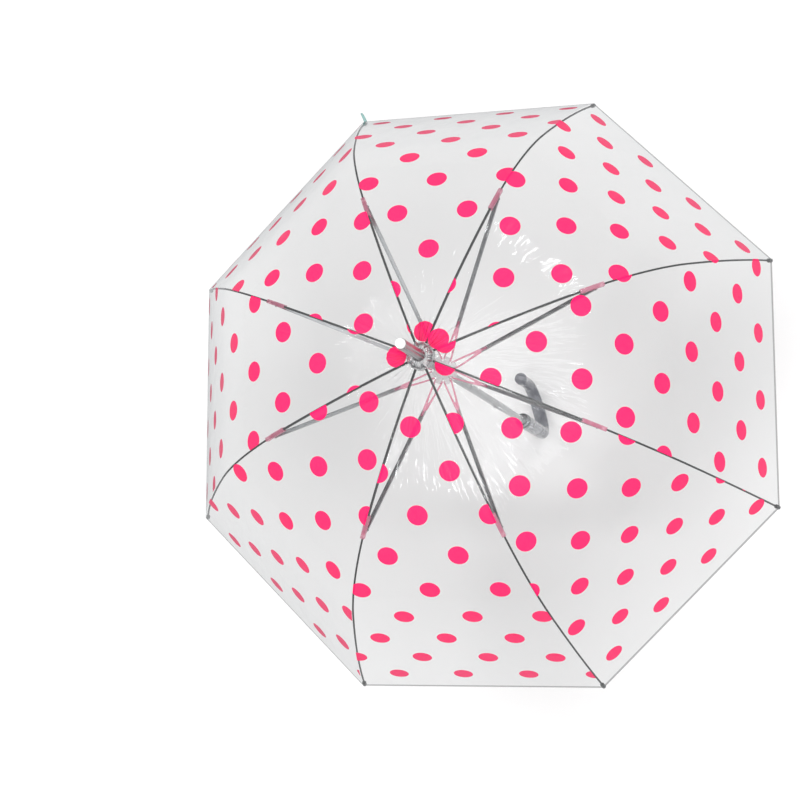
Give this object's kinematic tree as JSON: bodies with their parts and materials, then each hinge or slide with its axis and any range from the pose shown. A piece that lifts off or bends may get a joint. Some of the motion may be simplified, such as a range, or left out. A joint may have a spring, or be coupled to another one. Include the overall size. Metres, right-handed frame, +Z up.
{
  "type": "clear bubble umbrella",
  "caption": "Deep clear dome umbrella with a spotted film canopy, folding steel ribs and stretchers, a sliding runner, a tall ferrule and a smoky crook handle.",
  "frame": {"origin": "on the shaft's axis at the middle of the handle's grip", "axes": "+Z up along the shaft towards the ferrule; the crook turns towards +Y, 15 degrees past it"},
  "size_m": [0.757, 0.767, 0.9319],
  "materials": {
    "film": "clear, glossy",
    "pink_plastic": "satin, slightly see-through",
    "dark_steel": "dark grey lacquer",
    "steel": "satin zinc",
    "silver": "satin nickel",
    "shaft_paint": "grey gloss paint",
    "clear_plastic": "clear moulded",
    "white_plastic": "gloss",
    "smoke_plastic": "smoky, see-through, glossy",
    "collar_metal": "dark chrome"
  },
  "bodies": {
    "shaft": {"shaft": "shaft_paint", "ferrule": "silver", "ferrule_cap": "white_plastic", "crown_cap": "clear_plastic", "top_notch": "clear_plastic", "notch_wire": "steel", "handle_collar": "collar_metal", "handle": "smoke_plastic", "gore_1": "film", "gore_2": "film", "gore_3": "film", "gore_4": "film", "gore_5": "film", "gore_6": "film", "gore_7": "film", "gore_8": "film"},
    "runner": {"runner": "clear_plastic"},
    "top_catch": {"top_catch": "steel"},
    "bottom_catch": {"bottom_catch": "steel"},
    "rib_inner_1": {"rib_inner_1": "dark_steel", "rib_joint_1": "pink_plastic"},
    "rib_outer_1": {"rib_outer_1": "dark_steel", "rib_tip_1": "steel", "closing_strap": "film"},
    "stretcher_1": {"stretcher_1": "steel"},
    "rib_inner_2": {"rib_inner_2": "dark_steel", "rib_joint_2": "pink_plastic"},
    "rib_outer_2": {"rib_outer_2": "dark_steel", "rib_tip_2": "steel"},
    "stretcher_2": {"stretcher_2": "steel"},
    "rib_inner_3": {"rib_inner_3": "dark_steel", "rib_joint_3": "pink_plastic"},
    "rib_outer_3": {"rib_outer_3": "dark_steel", "rib_tip_3": "steel"},
    "stretcher_3": {"stretcher_3": "steel"},
    "rib_inner_4": {"rib_inner_4": "dark_steel", "rib_joint_4": "pink_plastic"},
    "rib_outer_4": {"rib_outer_4": "dark_steel", "rib_tip_4": "steel"},
    "stretcher_4": {"stretcher_4": "steel"},
    "rib_inner_5": {"rib_inner_5": "dark_steel", "rib_joint_5": "pink_plastic"},
    "rib_outer_5": {"rib_outer_5": "dark_steel", "rib_tip_5": "steel"},
    "stretcher_5": {"stretcher_5": "steel"},
    "rib_inner_6": {"rib_inner_6": "dark_steel", "rib_joint_6": "pink_plastic"},
    "rib_outer_6": {"rib_outer_6": "dark_steel", "rib_tip_6": "steel"},
    "stretcher_6": {"stretcher_6": "steel"},
    "rib_inner_7": {"rib_inner_7": "dark_steel", "rib_joint_7": "pink_plastic"},
    "rib_outer_7": {"rib_outer_7": "dark_steel", "rib_tip_7": "steel"},
    "stretcher_7": {"stretcher_7": "steel"},
    "rib_inner_8": {"rib_inner_8": "dark_steel", "rib_joint_8": "pink_plastic"},
    "rib_outer_8": {"rib_outer_8": "dark_steel", "rib_tip_8": "steel"},
    "stretcher_8": {"stretcher_8": "steel"}
  },
  "joints": [
    {"name": "runner_slide", "type": "slide", "parent": "shaft", "child": "runner", "axis": [0, 0, -1], "range_m": [0, 0.28799], "deforming": ["gore_1", "gore_2", "gore_3", "gore_4", "gore_5", "gore_6", "gore_7", "gore_8", "top_catch", "bottom_catch"]},
    {"name": "top_catch_press", "type": "hinge", "parent": "shaft", "child": "top_catch", "pos_m": [0, 0, 0.54532], "axis": [-1, 0, 0], "range_deg": [0, 6.5], "stiffness_Nm_per_rad": 0.5},
    {"name": "bottom_catch_press", "type": "hinge", "parent": "shaft", "child": "bottom_catch", "pos_m": [0, 0, 0.27664], "axis": [-1, 0, 0], "range_deg": [0, 6.5], "stiffness_Nm_per_rad": 0.5},
    {"name": "rib_hinge_1", "type": "hinge", "parent": "shaft", "child": "rib_inner_1", "pos_m": [-0.00536, 0.01293, 0.7154], "axis": [-0.9239, -0.3827, 0], "range_deg": [0, 72.04]},
    {"name": "rib_flex_1", "type": "hinge", "parent": "rib_inner_1", "child": "rib_outer_1", "pos_m": [-0.08293, 0.20021, 0.66293], "axis": [-0.9239, -0.3827, 0], "range_deg": [-35.65, 0]},
    {"name": "stretcher_hinge_1", "type": "hinge", "parent": "rib_inner_1", "child": "stretcher_1", "pos_m": [-0.07856, 0.18966, 0.66051], "axis": [-0.9239, -0.3827, 0], "range_deg": [-144.08, 0]},
    {"name": "rib_hinge_2", "type": "hinge", "parent": "shaft", "child": "rib_inner_2", "pos_m": [-0.01293, 0.00536, 0.7154], "axis": [-0.3827, -0.9239, 0], "range_deg": [0, 72.04]},
    {"name": "rib_flex_2", "type": "hinge", "parent": "rib_inner_2", "child": "rib_outer_2", "pos_m": [-0.20021, 0.08293, 0.66293], "axis": [-0.3827, -0.9239, 0], "range_deg": [-35.65, 0]},
    {"name": "stretcher_hinge_2", "type": "hinge", "parent": "rib_inner_2", "child": "stretcher_2", "pos_m": [-0.18966, 0.07856, 0.66051], "axis": [-0.3827, -0.9239, 0], "range_deg": [-144.08, 0]},
    {"name": "rib_hinge_3", "type": "hinge", "parent": "shaft", "child": "rib_inner_3", "pos_m": [-0.01293, -0.00536, 0.7154], "axis": [0.3827, -0.9239, 0], "range_deg": [0, 72.04]},
    {"name": "rib_flex_3", "type": "hinge", "parent": "rib_inner_3", "child": "rib_outer_3", "pos_m": [-0.20021, -0.08293, 0.66293], "axis": [0.3827, -0.9239, 0], "range_deg": [-35.65, 0]},
    {"name": "stretcher_hinge_3", "type": "hinge", "parent": "rib_inner_3", "child": "stretcher_3", "pos_m": [-0.18966, -0.07856, 0.66051], "axis": [0.3827, -0.9239, 0], "range_deg": [-144.08, 0]},
    {"name": "rib_hinge_4", "type": "hinge", "parent": "shaft", "child": "rib_inner_4", "pos_m": [-0.00536, -0.01293, 0.7154], "axis": [0.9239, -0.3827, 0], "range_deg": [0, 72.04]},
    {"name": "rib_flex_4", "type": "hinge", "parent": "rib_inner_4", "child": "rib_outer_4", "pos_m": [-0.08293, -0.20021, 0.66293], "axis": [0.9239, -0.3827, 0], "range_deg": [-35.65, 0]},
    {"name": "stretcher_hinge_4", "type": "hinge", "parent": "rib_inner_4", "child": "stretcher_4", "pos_m": [-0.07856, -0.18966, 0.66051], "axis": [0.9239, -0.3827, 0], "range_deg": [-144.08, 0]},
    {"name": "rib_hinge_5", "type": "hinge", "parent": "shaft", "child": "rib_inner_5", "pos_m": [0.00536, -0.01293, 0.7154], "axis": [0.9239, 0.3827, 0], "range_deg": [0, 72.04]},
    {"name": "rib_flex_5", "type": "hinge", "parent": "rib_inner_5", "child": "rib_outer_5", "pos_m": [0.08293, -0.20021, 0.66293], "axis": [0.9239, 0.3827, 0], "range_deg": [-35.65, 0]},
    {"name": "stretcher_hinge_5", "type": "hinge", "parent": "rib_inner_5", "child": "stretcher_5", "pos_m": [0.07856, -0.18966, 0.66051], "axis": [0.9239, 0.3827, 0], "range_deg": [-144.08, 0]},
    {"name": "rib_hinge_6", "type": "hinge", "parent": "shaft", "child": "rib_inner_6", "pos_m": [0.01293, -0.00536, 0.7154], "axis": [0.3827, 0.9239, 0], "range_deg": [0, 72.04]},
    {"name": "rib_flex_6", "type": "hinge", "parent": "rib_inner_6", "child": "rib_outer_6", "pos_m": [0.20021, -0.08293, 0.66293], "axis": [0.3827, 0.9239, 0], "range_deg": [-35.65, 0]},
    {"name": "stretcher_hinge_6", "type": "hinge", "parent": "rib_inner_6", "child": "stretcher_6", "pos_m": [0.18966, -0.07856, 0.66051], "axis": [0.3827, 0.9239, 0], "range_deg": [-144.08, 0]},
    {"name": "rib_hinge_7", "type": "hinge", "parent": "shaft", "child": "rib_inner_7", "pos_m": [0.01293, 0.00536, 0.7154], "axis": [-0.3827, 0.9239, 0], "range_deg": [0, 72.04]},
    {"name": "rib_flex_7", "type": "hinge", "parent": "rib_inner_7", "child": "rib_outer_7", "pos_m": [0.20021, 0.08293, 0.66293], "axis": [-0.3827, 0.9239, 0], "range_deg": [-35.65, 0]},
    {"name": "stretcher_hinge_7", "type": "hinge", "parent": "rib_inner_7", "child": "stretcher_7", "pos_m": [0.18966, 0.07856, 0.66051], "axis": [-0.3827, 0.9239, 0], "range_deg": [-144.08, 0]},
    {"name": "rib_hinge_8", "type": "hinge", "parent": "shaft", "child": "rib_inner_8", "pos_m": [0.00536, 0.01293, 0.7154], "axis": [-0.9239, 0.3827, 0], "range_deg": [0, 72.04]},
    {"name": "rib_flex_8", "type": "hinge", "parent": "rib_inner_8", "child": "rib_outer_8", "pos_m": [0.08293, 0.20021, 0.66293], "axis": [-0.9239, 0.3827, 0], "range_deg": [-35.65, 0]},
    {"name": "stretcher_hinge_8", "type": "hinge", "parent": "rib_inner_8", "child": "stretcher_8", "pos_m": [0.07856, 0.18966, 0.66051], "axis": [-0.9239, 0.3827, 0], "range_deg": [-144.08, 0]}
  ],
  "couplings": [
    {"joint": "rib_hinge_1", "follows": "runner_slide", "rad_per_m": 4.3629},
    {"joint": "rib_flex_1", "follows": "runner_slide", "rad_per_m": -2.1576},
    {"joint": "stretcher_hinge_1", "follows": "runner_slide", "rad_per_m": -8.7257},
    {"joint": "rib_hinge_2", "follows": "runner_slide", "rad_per_m": 4.3629},
    {"joint": "rib_flex_2", "follows": "runner_slide", "rad_per_m": -2.1576},
    {"joint": "stretcher_hinge_2", "follows": "runner_slide", "rad_per_m": -8.7257},
    {"joint": "rib_hinge_3", "follows": "runner_slide", "rad_per_m": 4.3629},
    {"joint": "rib_flex_3", "follows": "runner_slide", "rad_per_m": -2.1576},
    {"joint": "stretcher_hinge_3", "follows": "runner_slide", "rad_per_m": -8.7257},
    {"joint": "rib_hinge_4", "follows": "runner_slide", "rad_per_m": 4.3629},
    {"joint": "rib_flex_4", "follows": "runner_slide", "rad_per_m": -2.1576},
    {"joint": "stretcher_hinge_4", "follows": "runner_slide", "rad_per_m": -8.7257},
    {"joint": "rib_hinge_5", "follows": "runner_slide", "rad_per_m": 4.3629},
    {"joint": "rib_flex_5", "follows": "runner_slide", "rad_per_m": -2.1576},
    {"joint": "stretcher_hinge_5", "follows": "runner_slide", "rad_per_m": -8.7257},
    {"joint": "rib_hinge_6", "follows": "runner_slide", "rad_per_m": 4.3629},
    {"joint": "rib_flex_6", "follows": "runner_slide", "rad_per_m": -2.1576},
    {"joint": "stretcher_hinge_6", "follows": "runner_slide", "rad_per_m": -8.7257},
    {"joint": "rib_hinge_7", "follows": "runner_slide", "rad_per_m": 4.3629},
    {"joint": "rib_flex_7", "follows": "runner_slide", "rad_per_m": -2.1576},
    {"joint": "stretcher_hinge_7", "follows": "runner_slide", "rad_per_m": -8.7257},
    {"joint": "rib_hinge_8", "follows": "runner_slide", "rad_per_m": 4.3629},
    {"joint": "rib_flex_8", "follows": "runner_slide", "rad_per_m": -2.1576},
    {"joint": "stretcher_hinge_8", "follows": "runner_slide", "rad_per_m": -8.7257}
  ]
}
